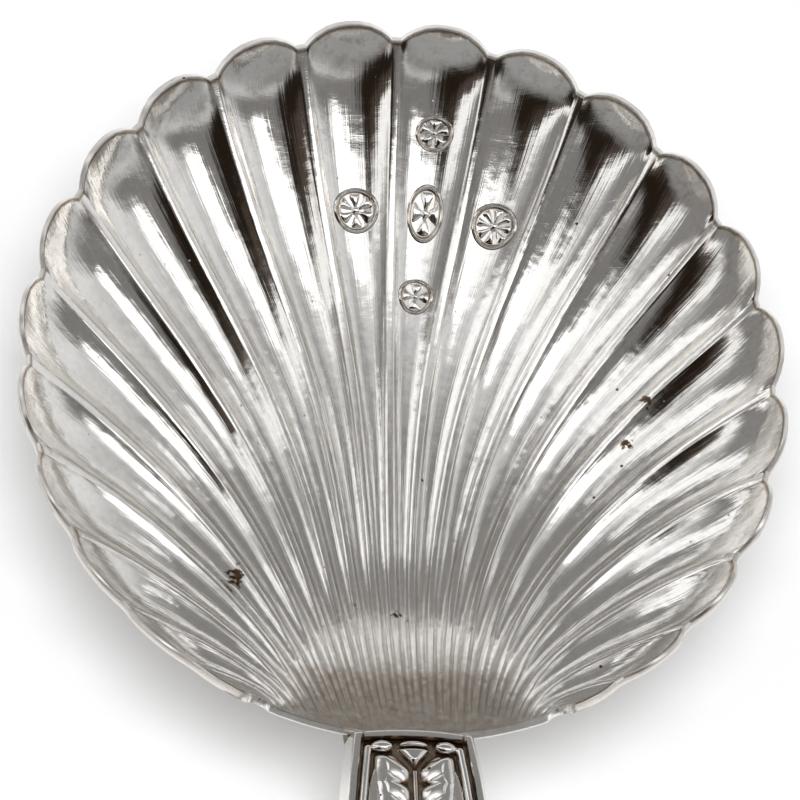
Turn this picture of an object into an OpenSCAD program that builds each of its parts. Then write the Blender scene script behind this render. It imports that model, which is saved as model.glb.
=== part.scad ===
// Caddy spoon with a fluted shell bowl and a hollow handle struck with leaves.
// Bowl tip toward +Y, handle toward -Y, the open side of the bowl up.
// The spoon lies as it rests: on the belly of the bowl and the end of the handle.
// The origin is on the table, in the middle of the outline.

/* [Bowl] */
// Width across the bowl between opposite rib ends
bowl_w = 39.4; // [37:0.2:42]
// Length of the bowl from heel to middle rib end
bowl_l = 42; // [39:0.2:45]
// Depth of the rib crests below the rim
bowl_d = 6.6; // [5.8:0.1:8]
// Number of flutes, always even so that a rib lies on the middle line
flute_n = 22; // [18:2:24]
// Depth of a flute as a share of its width
flute_share = 0.125; // [0.08:0.005:0.2]
// Width of a rib between two flutes
rib_w = 0.66; // [0.5:0.02:0.8]
// How far the rim bows out between two ribs
lobe_out = 0.58; // [0.3:0.02:0.7]
// How far a flute's end lifts the rim over the slope of the ribs
lobe_up = 0.6; // [0.3:0.05:0.7]
// Width of the flat land on top of the rim
rim_w = 0.28; // [0.2:0.02:0.4]
// Thickness of the bowl sheet
sheet_t = 0.45; // [0.35:0.05:0.6]

/* [Handle] */
// Length of the handle from heel to end
handle_l = 41; // [36:1:46]
// Width of the handle at the neck
neck_w = 6.1; // [5.4:0.1:7]
// Width that the flare reaches before the rounded end
end_w = 13; // [11:0.5:15]
// Height of the side wall of the struck front
wall_h = 1.4; // [1.2:0.1:1.8]
// Outward slope of the side wall over its height
wall_draft = 0.3; // [0.1:0.05:0.4]
// Thickness of the struck front
front_t = 0.5; // [0.4:0.05:0.6]
// Thickness of the back plate and its tongue
back_t = 0.5; // [0.4:0.05:0.7]
// Height of the handle's top over the rim at the neck
neck_up = 1.5; // [1.4:0.05:1.8]
// Rise of the handle where it leaves the bowl
rise = 0.3; // [0.15:0.01:0.4]
// Length of the tongue that laps the back of the bowl
tongue_l = 6.2; // [5:0.2:7]

/* [Border and leaves] */
// Width of the plain outer fillet of the border
fillet_w = 0.45; // [0.35:0.05:0.55]
// Width of the groove between fillet and ridge
groove_w = 0.16; // [0.12:0.02:0.24]
// Width of the inner ridge of the border
ridge_w = 0.42; // [0.3:0.02:0.5]
// Depth of the sunk ground below the border
ground_deep = 0.36; // [0.2:0.02:0.45]
// Height of the leaves above the ground
leaf_high = 0.32; // [0.15:0.02:0.36]
// Number of leaf pairs along the handle
leaf_pairs = 5; // [4:1:6]

/* [Solder] */
// Thickness of the solder in the joints
solder_t = 0.12; // [0.1:0.01:0.18]

/* [Hidden] */
silver = "gainsboro";
solder = "silver";

half_w = bowl_w / 2;
half_l = bowl_l / 2;
half_n = flute_n / 2;
grow = bowl_l / 42;

// rib fan: turn of the last rib end about the bowl, and how it tightens toward the heel
turn_end = 170.1;
turn_ease = 9.9;
heel_half = 7.3 * bowl_w / 39.4;
u_max = half_n - 0.35;
fan_steps = 11;
lead_l = 30 * grow;
lead_less = 2.78 * grow;
lead_side = 0.22;
aim_y = -10.83 * grow;
aim_more = 0.71 * grow;
aim_l = 19.3 * grow;
aim_less = 2.19 * grow;
least_l = 0.3;

// hollow of the bowl: deepest place, and how the walls steepen to the rim
deep_y = -7 * grow;
heel_power = 1.7;
tip_power = 2.5;

// end of a flute: run over which its floor lifts to the rim, and how suddenly
end_run = 2.6;
end_power = 2;
lobe_power = 2.5;
rim_in = 0.17;

// grid of the bowl: rows from heel to rim, close together at the flutes' ends, and columns in each flute
even_rows = 14;
long_n = 12;
end_rows = [0.9, 0.95, 0.98, 1];
bowl_rows = long_n + len(end_rows);
flute_cols = 5;
rib_share = 0.3;
fade_rows = 0.06;
side_fade = 0.5;
step = 0.02;

// handle: place of the widest part, its rounding, and the rows along it
flare_end = 0.72 * handle_l;
flare_run = 0.8 * handle_l;
round_power = 2.4;
round_share = 0.99;
long_rows = 34;
round_rows = 13;
inner_cols = 11;
end_fall = 0.15;
neck_back = 0.4;
neck_bow = 0.25;
bow_run = 3;
flute_room = 0.14;
bed_h = wall_h + solder_t;
sole_h = bed_h + back_t;
border_w = fillet_w + groove_w + ridge_w;
slope_w = 0.06;
end_wall = 2.2;
neck_wall = 1.2;
joint_side = 0.3;
joint_into = 0.15;

function unit(v) = v / norm(v);
function smooth(t) = let (c = min(1, max(0, t))) c * c * (3 - 2 * c);
function share(u) = u / half_n;
function turn(u) = turn_end * share(u) - turn_ease * share(u) * abs(share(u));
function rim_at(u) = [half_w * sin(turn(u)), half_l * cos(turn(u))];
function rim_out(u) = unit([sin(turn(u)) / half_w, cos(turn(u)) / half_l]);
function heel_at(u) =
    let (x = heel_half * share(u))
    [x, -half_l * sqrt(1 - pow(x / half_w, 2))];

// plan of one flute line from the heel (s = 0) to the rim (s = 1)
function path(u, s, bow) =
    let (
        k = fan_steps * abs(share(u)),
        r = 1 - s,
        p0 = heel_at(u),
        p1 = p0 + unit([lead_side * share(u), 1]) * max(least_l, lead_l - lead_less * k),
        p2 = rim_at(u) + unit([0, aim_y + aim_more * k] - rim_at(u)) * max(least_l, aim_l - aim_less * k),
        p3 = rim_at(u) + rim_out(u) * bow
    )
    r * r * r * p0 + 3 * r * r * s * p1 + 3 * r * s * s * p2 + s * s * s * p3;

// distance from the deepest place to the rim, in direction a from the tip
function reach(a) =
    let (
        qa = pow(sin(a) / half_w, 2) + pow(cos(a) / half_l, 2),
        qb = 2 * deep_y * cos(a) / pow(half_l, 2),
        qc = pow(deep_y / half_l, 2) - 1
    )
    (sqrt(qb * qb - 4 * qa * qc) - qb) / (2 * qa);

// height of the rib crests over a place of the plan, and the slope there
function crest(p) =
    let (
        a = atan2(p[0], p[1] - deep_y),
        far = norm([p[0], p[1] - deep_y]) / reach(a),
        power = heel_power + (tip_power - heel_power) * (0.5 + 0.5 * cos(a))
    )
    bowl_d * (pow(far, power) - 1);
function upright(p) =
    unit([
        (crest(p - [step, 0]) - crest(p + [step, 0])) / (2 * step),
        (crest(p - [0, step]) - crest(p + [0, step])) / (2 * step),
        1
    ]);

// rows bunch toward the heel, where the flutes fade, and toward the rim, where their floors lift
function row_at(i) =
    let (w = pow(i / even_rows, 1.25))
    (i < long_n) ? 0.45 * w + 0.55 * (0.5 - 0.5 * cos(180 * w)) : end_rows[i - long_n];
function rib_gap(k, s) = norm(path(k + 0.5, s, 0) - path(k - 0.5, s, 0));
function rib_edge(k, s) = min(rib_share, rib_w / 2 / rib_gap(k, s));

// one flute in one row: points across it, sunk below the crests by a round hollow that lifts at the rim
function flute_row(f, s, under) =
    let (
        outer = (f == -half_n || f == half_n - 1),
        fade = outer ? side_fade : 1,
        left = (f == -half_n) ? -u_max : f + rib_edge(f, s),
        right = (f == half_n - 1) ? u_max : f + 1 - rib_edge(f + 1, s),
        wide = norm(path(right, s, 0) - path(left, s, 0)),
        to_rim = norm(path(f + 0.5, 1, 0) - path(f + 0.5, s, 0)),
        lift = pow(max(0, 1 - to_rim / end_run), end_power),
        deep = flute_share * wide * smooth(s / fade_rows) * fade * (1 - lift)
    )
    [
        for (i = [0 : flute_cols - 1])
            let (
                w = i / (flute_cols - 1),
                u = left + (right - left) * w,
                side = abs(2 * w - 1),
                lobe = fade * (1 - pow(side, lobe_power)),
                p = path(u, s, lobe_out * lobe - rim_in),
                up = upright(p),
                floor_at = [p[0], p[1], crest(p) + lobe_up * lobe * lift] - up * deep * (1 - side * side),
                out = rim_out(u) * rim_w
            )
            (under == 0) ? floor_at
            : (s == 1) ? floor_at + [out[0], out[1], 0]
            : floor_at - up * under
    ];
function bowl_grid(under) =
    [
        for (i = [0 : bowl_rows - 1])
            [for (f = [-half_n : half_n - 1]) each flute_row(f, row_at(i), under)]
    ];

inner_grid = bowl_grid(0);
outer_grid = bowl_grid(sheet_t);
low_z = min([for (row = outer_grid) for (p = row) p[2]]);
tip_y = max([for (row = concat(inner_grid, outer_grid)) for (p = row) p[1]]);

// the surface behind the heel on which the tongue lies, one solder gap from the bowl
joint_gap = sheet_t + flute_room + solder_t;
function lap(p, gap) = crest(p) - gap / upright(p)[2];

// the handle leaves the bowl rising, arches over and ends on the table, level with the belly
neck_y = -half_l - neck_back;
end_y = neck_y - handle_l;
end_z = low_z + sole_h;
mid_y = (tip_y + end_y) / 2;
function arch(t) =
    let (
        w = t / handle_l,
        up = (2 * w - 3) * w * w + 1,
        leave = ((w - 2) * w + 1) * w,
        land = (w - 1) * w * w
    )
    neck_up * up + end_z * (1 - up) + handle_l * (rise * leave - end_fall * land);
function bow(x, t) = neck_bow * pow(2 * x / neck_w, 2) * max(0, 1 - t / bow_run);
function on_handle(x, t, h) = [x, neck_y - t - bow(x, t), arch(t) - h];

// half width of the handle, inset by d from its outline
function flare(t) = neck_w / 2 + (end_w - neck_w) / 2 * min(1, t / flare_run);
function half_at(t, d) =
    let (e = max(0, t - flare_end) / (handle_l - d - flare_end))
    (flare(t) - d) * sqrt(max(0, 1 - round_share * pow(e, round_power)));
function long_at(i) =
    (i <= long_rows)
        ? flare_end * i / long_rows
        : flare_end + (handle_l - flare_end) * sin(90 * (i - long_rows) / round_rows);
handle_rows = long_rows + round_rows;

// distance of a place on the handle from the outline, found by halving
halvings = 14;
function inset(x, t, low, high, n) =
    let (mid = (low + high) / 2)
    (n == 0) ? low
    : (half_at(t, mid) > abs(x)) ? inset(x, t, mid, high, n - 1)
    : inset(x, t, low, mid, n - 1);
function edge_gap(x, t) =
    min(t, inset(x, t, 0, min(flare(t), 0.9 * (handle_l - flare_end)), halvings));

// leaf pairs as low swellings on both sides of the middle line, and a fan at the end
leaf_start = 0.6;
leaf_pitch = (flare_end + 2) / leaf_pairs;
fan_mid = flare_end + 0.49 * (handle_l - flare_end);
fan_half = 0.31 * (handle_l - flare_end);
function leaf_at(x, t) =
    let (
        n = min(leaf_pairs - 1, max(0, floor((t - leaf_start) / leaf_pitch))),
        mid = leaf_start + leaf_pitch * (n + 0.5),
        room = half_at(min(t, flare_end), 0) - border_w,
        a = (abs(x) - 0.5 * room) / (0.42 * room),
        b = (t - mid) / (0.47 * leaf_pitch)
    )
    sqrt(max(0, 1 - a * a - b * b));
function fan_at(x, t) =
    let (
        a = x / (0.62 * (flare(t) - border_w)),
        b = (t - fan_mid) / fan_half
    )
    sqrt(max(0, 1 - a * a - b * b));
function sunk(x, t) =
    let (
        d = edge_gap(x, t),
        down_1 = smooth((d - fillet_w) / slope_w) - smooth((d - fillet_w - groove_w + slope_w) / slope_w),
        down_2 = smooth((d - border_w) / (2 * slope_w)),
        swell = max(leaf_at(x, t), fan_at(x, t))
    )
    ground_deep * max(0.6 * down_1, down_2) - leaf_high * swell * down_2;

// columns across the front follow the border lines, then spread evenly over the ground
cuts = [
    0,
    fillet_w,
    fillet_w + slope_w,
    fillet_w + groove_w - slope_w,
    fillet_w + groove_w,
    border_w,
    border_w + 2 * slope_w
];
cut_n = len(cuts);
side_n = cut_n + (inner_cols - 1) / 2;
function side_at(j, t) =
    (j < cut_n)
        ? max(half_at(t, cuts[j]), half_at(t, 0) * (1 - j / side_n))
        : side_at(cut_n - 1, t) * (1 - (j - cut_n + 1) / ((inner_cols + 1) / 2));
function column_at(j, t) = (j <= side_n) ? -side_at(j, t) : side_at(2 * side_n - j, t);

// a solid between an upper and a lower grid of points with the same rows and columns
module slab(top, under) {
    rows = len(top);
    cols = len(top[0]);
    n = rows * cols;
    points = concat([for (r = top) each r], [for (r = under) each r]);
    faces = concat(
        [
            for (i = [0 : rows - 2], j = [0 : cols - 2])
                let (a = i * cols + j)
                each [[a, a + cols, a + cols + 1], [a, a + cols + 1, a + 1]]
        ],
        [
            for (i = [0 : rows - 2], j = [0 : cols - 2])
                let (a = n + i * cols + j)
                each [[a, a + cols + 1, a + cols], [a, a + 1, a + cols + 1]]
        ],
        [
            for (j = [0 : cols - 2])
                let (a = j, b = (rows - 1) * cols + j)
                each [
                    [a, a + 1, n + a + 1], [a, n + a + 1, n + a],
                    [b, n + b + 1, b + 1], [b, n + b, n + b + 1]
                ]
        ],
        [
            for (i = [0 : rows - 2])
                let (a = i * cols, b = i * cols + cols - 1)
                each [
                    [a, n + a + cols, a + cols],
                    [a, n + a, n + a + cols],
                    [b, b + cols, n + b + cols],
                    [b, n + b + cols, n + b]
                ]
        ]
    );
    polyhedron(points, faces, 10);
}

module bowl_solid() {
    slab(inner_grid, outer_grid);
}

// rows of points across the handle at one depth below its top
function strip(rows, cols, deep, wider) =
    [
        for (t = rows)
            [for (j = [0 : cols]) on_handle((1 - 2 * j / cols) * (half_at(t, 0) + wider), t, deep)]
    ];
all_rows = [for (i = [0 : handle_rows]) long_at(i)];
hollow_n = 24;
hollow_rows = [for (i = [0 : hollow_n]) neck_wall + (handle_l - end_wall - neck_wall) * i / hollow_n];

module front_solid() {
    slab(
        [
            for (t = all_rows)
                [for (j = [0 : 2 * side_n]) let (x = column_at(j, t)) on_handle(-x, t, sunk(x, t))]
        ],
        [
            for (t = all_rows)
                [
                    for (j = [0 : 2 * side_n])
                        let (x = column_at(j, t))
                        on_handle(-x * (1 + wall_draft / half_at(t, 0)), t, wall_h)
                ]
        ]
    );
}

module hollow() {
    top = ground_deep + front_t;
    slab(
        [for (t = hollow_rows) [for (j = [0 : 2]) on_handle((1 - j) * (half_at(t, 0) - front_t), t, top)]],
        [for (t = hollow_rows) [for (j = [0 : 2]) on_handle((1 - j) * (half_at(t, 0) - front_t), t, sole_h)]]
    );
}

// back plate with the tongue that laps the back of the bowl
back_cols = 6;
tongue_n = 8;
tongue_tip = 0.5;
plate_start = 0.6;
plate_rows = [for (t = all_rows) if (t > plate_start) t];
function tongue_y(i) = neck_y + tongue_l * (1 - i / tongue_n);
function tongue_half(i) =
    let (far = 1 - i / tongue_n)
    tongue_tip + (neck_w / 2 + wall_draft - tongue_tip) * sqrt(1 - far * far);
function across(j) = 1 - 2 * j / back_cols;
function lap_point(j, i, more) =
    let (p = [across(j) * tongue_half(i), tongue_y(i)])
    [p[0], p[1], lap(p, joint_gap)] - upright(p) * more;
function plate_point(j, t, h) = on_handle(across(j) * (half_at(t, 0) + wall_draft), t, h);
function neck_point(j, more) =
    (more == 0)
        ? plate_point(j, 0, bed_h)
        : (lap_point(j, tongue_n, more) + plate_point(j, plate_rows[0], bed_h + more)) / 2;
function back_grid(more) =
    concat(
        [for (i = [0 : tongue_n]) [for (j = [0 : back_cols]) lap_point(j, i, more)]],
        [[for (j = [0 : back_cols]) neck_point(j, more)]],
        [for (t = plate_rows) [for (j = [0 : back_cols]) plate_point(j, t, bed_h + more)]]
    );

module back_solid() {
    slab(back_grid(0), back_grid(back_t));
}

// solder under the tongue and behind the neck: its upper side has the points of the bowl's back
heel_rows = 4;
heel_flutes = 5;
heel_first = (half_n - heel_flutes) * flute_cols;
heel_last = (half_n + heel_flutes) * flute_cols - 1;
neck_lip = 0.1;
joint_n = 16;
joint_end = neck_y + tongue_l + joint_side;
function lip_row(under) =
    [
        for (j = [heel_first : heel_last])
            let (x = outer_grid[0][j][0], y = neck_y - neck_lip - bow(x, 0))
            [x, y, under ? lap([0, neck_y], joint_gap - joint_into) : arch(0) - bed_h - step]
    ];
function joint_row(i, gap) =
    [
        for (j = [heel_first : heel_last])
            let (p = outer_grid[i][j])
            [p[0], p[1], (gap == 0) ? p[2] : lap([p[0], p[1]], gap)]
    ];
function joint_half(y) =
    let (
        far = max(0, y - neck_y) / (tongue_l + joint_side),
        proud = joint_side * min(1, max(0, y - neck_y))
    )
    tongue_tip + proud + (neck_w / 2 + wall_draft - tongue_tip - neck_lip) * sqrt(max(0, 1 - far * far));
module joint_solid() {
    ys = [for (i = [0 : joint_n]) neck_y - 1 + (joint_end - neck_y + 1) * i / joint_n];
    intersection() {
        slab(
            concat([lip_row(false)], [for (i = [0 : heel_rows]) joint_row(i, 0)]),
            concat([lip_row(true)], [for (i = [0 : heel_rows]) joint_row(i, joint_gap + joint_into)])
        );
        translate([0, 0, low_z])
            linear_extrude(-2 * low_z)
                polygon(concat(
                    [for (y = ys) [joint_half(y), y]],
                    [for (i = [joint_n : -1 : 0]) [-joint_half(ys[i]), ys[i]]]
                ));
    }
}

module at_rest() {
    translate([0, -mid_y, -low_z])
        children();
}

module shell_bowl() {
    color(silver)
        at_rest()
            bowl_solid();
}

module handle_front() {
    color(silver)
        at_rest()
            difference() {
                front_solid();
                hollow();
            }
}

module handle_back() {
    color(silver)
        at_rest()
            back_solid();
}

module handle_seam() {
    color(solder)
        at_rest()
            difference() {
                slab(
                    strip(all_rows, 2, wall_h, wall_draft),
                    strip(all_rows, 2, bed_h, wall_draft)
                );
                hollow();
            }
}

module heel_joint() {
    color(solder)
        at_rest()
            difference() {
                joint_solid();
                back_solid();
            }
}

shell_bowl();
handle_front();
handle_back();
handle_seam();
heel_joint();
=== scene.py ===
import math

import bpy
import numpy as np
from mathutils import Matrix, Vector


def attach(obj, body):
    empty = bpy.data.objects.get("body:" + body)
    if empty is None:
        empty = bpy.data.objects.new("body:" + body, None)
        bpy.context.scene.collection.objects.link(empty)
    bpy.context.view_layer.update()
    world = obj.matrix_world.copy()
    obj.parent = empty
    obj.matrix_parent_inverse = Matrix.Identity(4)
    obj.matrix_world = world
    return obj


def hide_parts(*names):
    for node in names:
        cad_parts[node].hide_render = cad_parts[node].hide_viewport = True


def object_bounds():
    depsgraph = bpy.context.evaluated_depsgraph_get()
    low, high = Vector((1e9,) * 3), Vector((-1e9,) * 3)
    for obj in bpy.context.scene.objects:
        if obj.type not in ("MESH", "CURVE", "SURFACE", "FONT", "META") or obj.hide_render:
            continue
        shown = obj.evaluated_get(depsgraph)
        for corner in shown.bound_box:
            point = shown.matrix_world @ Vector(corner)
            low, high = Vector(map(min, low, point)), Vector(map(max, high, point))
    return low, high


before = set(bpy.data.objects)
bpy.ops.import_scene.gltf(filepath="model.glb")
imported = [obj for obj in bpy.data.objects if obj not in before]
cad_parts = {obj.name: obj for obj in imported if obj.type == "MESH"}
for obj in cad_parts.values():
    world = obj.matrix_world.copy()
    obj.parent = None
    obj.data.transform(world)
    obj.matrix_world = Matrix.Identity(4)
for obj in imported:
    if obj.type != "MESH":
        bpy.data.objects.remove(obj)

cad_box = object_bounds()

# Sizes are in millimetres in the bowl's own frame: rim level z = 0, bowl middle at x = y = 0.
MM = 0.001


def mirrored(steps):
    """Places on both sides of a middle line, from the places on one side."""
    return [-v for v in reversed(steps)] + [0.0] + list(steps)


# Bowl: outline, depth, and the fan of flute lines from the heel to the rim
HALF_W = 19.7
HALF_L = 21.0
BOWL_D = 6.6
BELLY_D = 7.13598
DEEP_Y = -7.0
HEEL_POWER = 1.7
TIP_POWER = 2.5
SHEET_T = 0.43
HALF_N = 11
U_MAX = HALF_N - 0.35
HEEL_HALF = 7.3
TURN_END = 170.1
TURN_EASE = 9.9
LEAD_L = 30.0
LEAD_LESS = 2.78
LEAD_SIDE = 0.22
AIM_Y = -10.83
AIM_MORE = 0.71
AIM_L = 19.3
AIM_LESS = 2.19
LEAST_L = 0.3

# Bowl: section of a flute and of a rib
FLUTE_SHARE = 0.125
NARROW_SHARE = 0.22
NARROW_W = 1.9
HOLLOW_POWER = 2.5
BACK_SHARE = 0.97
RIB_W = 0.52
RIB_SHARE = 0.23
RIB_CROWN = 0.06
RIB_POWER = 3
FADE_ROWS = 0.06
SIDE_FADE = 0.5

# Unevenness along a flute: size, waves from heel to rim, shift from flute to flute, start
HAND_WAVES = ((0.5, 7.1, 2.3, 0.0), (0.3, 17.0, 4.1, 1.0), (0.2, 31.0, 1.7, 2.0))
WAVE_SHARE = 0.05

# Bowl: ends of the flutes, lifted and bowed out into lobes
LOBE_OUT = 0.548
LOBE_UP = 0.6
LOBE_POWER = 2.5
END_RUN = 3.6
END_POWER = 3.0
END_POWER_SIDE = 2.2
BESIDE_FROM = 0.8
BESIDE_RUN = 0.5

# Rim land: places out from its inner edge, with the heights there along the far rim and the near rim
LAND_SECTION = (
    (0.004, 0.03, 0.03),
    (0.016, 0.075, 0.075),
    (0.035, 0.102, 0.102),
    (0.06, 0.112, 0.112),
    (0.085, 0.106, 0.112),
    (0.11, 0.092, 0.11),
    (0.18, 0.049, 0.102),
    (0.26, 0.0, 0.09),
    (0.34, -0.05, 0.07),
    (0.375, -0.074, 0.045),
    (0.4, -0.11, 0.0),
    (0.41, -0.17, -0.09),
)
LAND_IN = 0.31
LAND_SIDE = 0.56
LAND_FADE = 0.8
FAR_FROM = -0.45
FAR_RUN = 0.5
STEP_LOBE = 0.02
STEP_CUSP = 0.1
# Painted shade along the rim land's outer rounding: the land row where it starts, and its strength there
EDGE_SHADE_ROW = 8
EDGE_SHADE_FIRST = 0.4
LAND_RIM_GAP = 3.0

# Bowl: edge at the heel, and the narrow ends of the sheet beside it
HEEL_STEPS = np.array([0.07, 0.22, 0.5, 0.78, 0.93])
HEEL_BULGE = 0.03
END_OUT = 0.05
END_BACK = 0.02

# Bowl: rows along a flute, close together at both ends, and columns across a flute and a rib
LINE_POINTS = 400
EDGE_ROWS = np.array([0.0, 0.04, 0.1, 0.2, 0.35, 0.55])
EDGE_SHARE = 0.3
MAIN_ROWS = 78
EVEN_SHARE = 0.45
FLUTE_STEPS = mirrored((0.25, 0.5, 0.75, 0.88, 0.96, 1.0))
RIB_STEPS = mirrored((0.4, 0.7, 0.9))

# Rosettes: name, flute, place along the spoon, half width, half length, petals
ROSETTES = (
    ("rosette_left", -0.5, 12.6, 1.28, 1.25, 6),
    ("rosette_middle", 0.5, 12.6, 1.02, 1.62, 4),
    ("rosette_top", 0.5, 16.7, 1.08, 0.95, 5),
    ("rosette_right", 1.5, 11.9, 1.28, 1.28, 8),
    ("rosette_low", 0.5, 8.1, 0.98, 1.02, 4),
)

# Rosette: relief in millimetres, and the rest in shares of its radius
ROSETTE_LOW = 0.015
ROSETTE_HIGH = 0.1
ROSETTE_SKIRT = 0.07
SKIRT_FROM = 0.95
RING_AT = 0.87
RING_W = 0.05
RING_HIGH = 0.9
PETAL_AT = 0.44
PETAL_HALF = 0.27
PETAL_FILL = 0.85
EYE_R = 0.15
ROSETTE_ROWS = np.concatenate([np.linspace(0, 0.78, 24), np.linspace(0.795, 1, 14)])
ROSETTE_COLS = np.linspace(0, 2 * np.pi, 121)
# Painted shadow along the ring's outer and inner edges: middle and width of each, and the inner one's share
OUTER_SHADOW = (0.975, 0.03)
INNER_SHADOW = (0.77, 0.035)
INNER_SHADOW_SHARE = 0.7
SEARCH = (0.2, 0.98)
LEAN_STEP = 0.01
PROBE_Z = 5.0

# Handle: outline, arch, walls and back plate
HANDLE_L = 41.0
NECK_W = 6.1
END_W = 13.0
WALL_H = 1.4
WALL_DRAFT = 0.3
BACK_T = 0.5
SOLDER_T = 0.12
NECK_UP = 1.5
RISE = 0.3
END_FALL = 0.15
NECK_BOW = 0.25
BOW_RUN = 3.0
NECK_BACK = 0.4
NECK_Y = -HALF_L - NECK_BACK
FLARE_END = 0.72 * HANDLE_L
FLARE_RUN = 0.8 * HANDLE_L
ROUND_POWER = 2.4
ROUND_SHARE = 0.99
BED_H = WALL_H + SOLDER_T
END_Z = BED_H + BACK_T - BELLY_D
TONGUE_L = 6.2
TONGUE_TIP = 0.5
CAD_SHEET_T = 0.45
FLUTE_ROOM = 0.14
JOINT_GAP = CAD_SHEET_T + FLUTE_ROOM + SOLDER_T
BACK_EDGE = 0.09
BACK_EDGE_STEPS = 3
BACK_EDGE_ANGLE = 50

# The middle of the bowl in the part's frame: the handle ends where the part does
BOWL_TO_PART = np.array([0.0, round(cad_box[0][1] / MM + HANDLE_L - NECK_Y, 4), BELLY_D])

# Handle: border of a fillet and a ridge with a groove between them, and the sunk ground
FILLET_W = 0.45
GROOVE_W = 0.16
RIDGE_W = 0.42
RIDGE_FROM = FILLET_W + GROOVE_W
BORDER_W = RIDGE_FROM + RIDGE_W
GROUND_DEEP = 0.42
EDGE_ROUND = 0.18
FILLET_SLOPE = 0.06
GROOVE_SLOPE = 0.07
GROOVE_DEEP = 0.75
RIDGE_FULL = 0.56
RIDGE_HIGH = 0.96
RIDGE_START = 0.75
RIDGE_START_RUN = 0.35
NECK_FILLET = 0.5
NECK_GROOVE = 0.22
NECK_GROOVE_HALF = 1.6
NECK_GROOVE_FADE = 0.3
NECK_SLOPE = 0.08
GROUND_FROM = BORDER_W - 0.02
GROUND_SLOPE = 0.1
TOP_IN = 0.002
HALVINGS = 22
DEEPEST_SHARE = 0.9

# Handle: bosses at the neck, each with its middle across and along, half width, half length and height
CURL = (1.62, 0.98, 0.62, 0.42, 0.95)
EYE = (1.28, 1.02, 0.24, 0.26, 0.9)
CROWN = (0.0, 0.84, 0.78, 0.2, 0.8)
CROWN_BEND = 0.1
KEEL_FROM = 1.08
KEEL_TO = 2.3
KEEL_HALF = 0.86
KEEL_LEAST = 0.02
KEEL_TAPER = 1.15
KEEL_RISE = 0.2
KEEL_FALL = 0.5
KEEL_HIGH = 0.8

# Handle: start and length of each pair of leaves along it
LEAF_PAIRS = ((1.55, 3.95), (6.75, 5.4), (13.1, 5.5), (19.4, 5.5), (25.6, 5.0))

# Leaf, in shares of its length and of the room beside the middle line
LEAF_OUT = 0.94
LEAF_LEAN = 0.06
LEAF_TAPER = 0.32
LEAF_TAPER_FROM = 0.35
LEAF_TAPER_POWER = 1.4
LEAF_IN = 0.1
LEAF_ROOT = 0.42
LEAF_ROOT_RUN = 0.28
LEAF_ROOT_POWER = 1.6
LEAF_LEAST = 0.05
LEAF_CLOSE = 3.0
LEAF_LOBES = 3.0
LOBES_FROM = 0.12
LOBES_FADE = 0.15
NOTCH_IN = 0.17
NOTCH_DEEP = 0.55
NOTCH_SLANT = 0.75
NOTCH_ROUND = 0.8
NOTCH_OUT = 0.85
NOTCH_RUN = 0.6
SWELL_POWER = 2.2
SWELL_ROUND = 0.75
TIP_OUT = 1.06
TIP_RUN = 0.12
ROOT_RUN = 0.1
VEIN_AT = 0.58
VEIN_SWAY = 0.1
VEIN_WAVES = 3.0
VEIN_W = 0.055
VEIN_DEEP = 0.1
VEIN_START = 0.2
VEIN_STOP = 0.3

# Small outer leaf, in the same shares
SMALL_AT = 0.9
SMALL_LEAN = 0.06
SMALL_HALF = 0.07
SMALL_GROW = 0.13
SMALL_MIDDLE = 0.62
SMALL_LONG = 0.44
SMALL_ROUND = 0.7
SMALL_RUN = 1.12
SMALL_HIGH = 0.62

# Bead after each pair of leaves, and the stem that joins them
BEAD_R = 0.3
BEAD_GROW = 0.012
BEAD_AFTER = 0.55
BEAD_HIGH = 0.95
STEM_FROM = 0.25
STEM_HALF = 0.14
STEM_HIGH = 0.45

# Palmette on the rounded end, a fan of fronds round a knob
PALMETTE_AT = FLARE_END + 2.2
PALMETTE_R = 7.6
PALMETTE_SIDE_LESS = 1.9
FROND_STEP = math.radians(21)
FRONDS_ASIDE = 4
FROND_WIDE = 0.46
FROND_FROM = 0.8
FROND_SWELL = 1.5
FROND_ROUND = 0.45
FROND_HIGH = 0.9
FROND_RIB = 0.18
FROND_RIB_W = 0.16
FROND_RIB_TO = 0.9
FROND_RIB_RUN = 0.4
KNOB_R = 0.85

# Handle: rows along it and columns across it, close together at the edges and the border
LIP_ROWS = (0, 0.008, 0.03, 0.065, 0.12)
NECK_RUN = 6.4
ROUND_RUN = 2.2
NECK_ROWS = np.arange(0.17, NECK_RUN, 0.05)
LONG_ROWS = np.arange(NECK_RUN, HANDLE_L - ROUND_RUN, 0.118)
ROUND_ROWS = HANDLE_L - np.arange(ROUND_RUN, 0.12, -0.04)
LAST_ROWS = HANDLE_L - np.array([0.11, 0.065, 0.03, 0.01, 0.0])
FILLET_COLS = (0.2, 0.3, 0.4)
GROOVE_COLS = FILLET_W + np.array([0, 0.035, 0.07, 0.09, 0.125])
RIDGE_COLS = RIDGE_FROM + np.array([0, 0.04, 0.09, 0.15, 0.21, 0.27, 0.33, 0.38])
GROUND_COLS = BORDER_W + np.array([0, 0.04, 0.09])
INNER_COLS = 52
FIRST_COL = 0.02
WALL_ROWS = (0.4, 0.75, 1.1, 1.33, WALL_H)
SWELL_W = 0.35
TONGUE_ROWS = 22
PLATE_FROM = 0.9
PLATE_ROWS = 60
PLATE_END_ROWS = 40
PLATE_END_FIRST = 3
BACK_COLS = 25

# Meshes: points closer than this in metres are one, and edges sharper than these degrees stay sharp
MERGE = 2e-7
NO_AREA = 1e-8
BOWL_SHARP = 40
FRONT_SHARP = 50
BACK_SHARP = 35


def unit(v):
    return v / np.linalg.norm(v, axis=-1, keepdims=True)


def smooth(t):
    t = np.clip(t, 0, 1)
    return t * t * (3 - 2 * t)


def bell(v, middle, width):
    return np.exp(-((v - middle) / width) ** 2)


def half_round(a, b=0.0):
    """A half-round boss over the ellipse a, b = -1..1."""
    return np.sqrt(np.maximum(0, 1 - a * a - b * b))


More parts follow.
